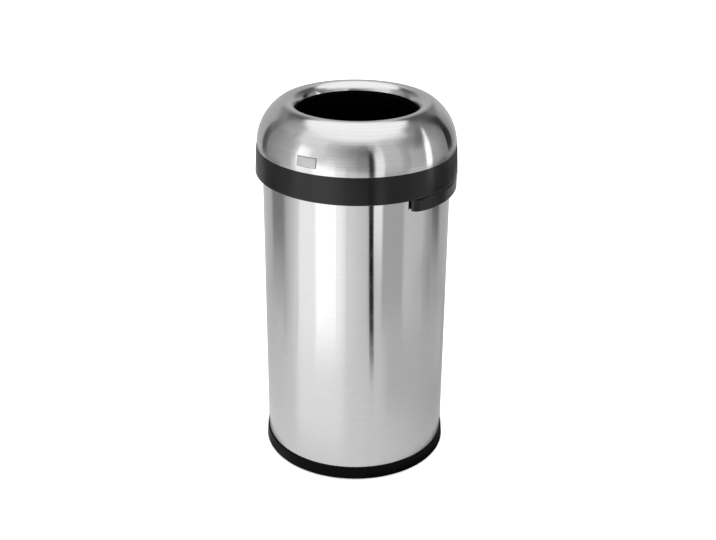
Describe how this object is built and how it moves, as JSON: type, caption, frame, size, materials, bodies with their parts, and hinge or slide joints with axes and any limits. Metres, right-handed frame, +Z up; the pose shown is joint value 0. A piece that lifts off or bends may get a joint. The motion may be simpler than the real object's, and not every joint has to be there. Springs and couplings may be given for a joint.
{
  "type": "dome top waste receptacle",
  "caption": "Round brushed steel waste bin with an open dome lid, black lid band with a side finger grip opposite a hinge, hinged bag ring, floor pan and black base ring.",
  "frame": {"origin": "centre of the base, on the floor", "axes": "+Z up; the badge faces -Y, the side grip is at +X and the lid's hinge is at -X"},
  "size_m": [0.3876, 0.3876, 0.7269],
  "materials": {
    "brushed_steel": "stainless sheet, brushed round the lid and up the body",
    "badge_steel": "pale satin plate, left bare",
    "black_plastic": "satin charcoal black moulding",
    "rubber": "matt black rubber",
    "galvanised": "galvanised sheet with a faint spangle",
    "zinc_fasteners": "zinc plated steel"
  },
  "bodies": {
    "bin_body": {"base_ring": "black_plastic", "foot_pads": "rubber", "base_pan": "galvanised", "base_screws": "zinc_fasteners", "body_shell": "brushed_steel", "top_collar": "black_plastic", "collar_rivets": "zinc_fasteners", "hinge_housing": "black_plastic", "hinge_backing_plate": "galvanised", "hinge_housing_screws": "zinc_fasteners", "hinge_pin": "zinc_fasteners", "hinge_pin_caps": "zinc_fasteners", "bag_ring_pin": "zinc_fasteners"},
    "lid": {"dome_shell": "brushed_steel", "throat_ring": "black_plastic", "throat_screws": "zinc_fasteners", "inner_frame": "black_plastic", "lid_band": "black_plastic", "lid_frame_screws": "zinc_fasteners", "lid_bumpers": "rubber", "lid_hinge_leaf": "black_plastic", "hinge_leaf_screws": "zinc_fasteners", "side_grip": "black_plastic", "grip_screws": "zinc_fasteners", "badge_plate": "badge_steel", "badge_push_nuts": "zinc_fasteners"},
    "bag_ring": {"bag_ring": "black_plastic"}
  },
  "joints": [
    {"name": "lid_hinge", "type": "hinge", "parent": "bin_body", "child": "lid", "pos_m": [-0.1851, 0, 0.5802], "axis": [0, -1, 0], "range_deg": [0, 95]},
    {"name": "bag_ring_hinge", "type": "hinge", "parent": "bin_body", "child": "bag_ring", "pos_m": [-0.1797, 0, 0.6137], "axis": [0, -1, 0], "range_deg": [0, 57]}
  ],
  "couplings": [
    {"joint": "bag_ring_hinge", "follows": "lid_hinge", "ratio": 0.6}
  ]
}
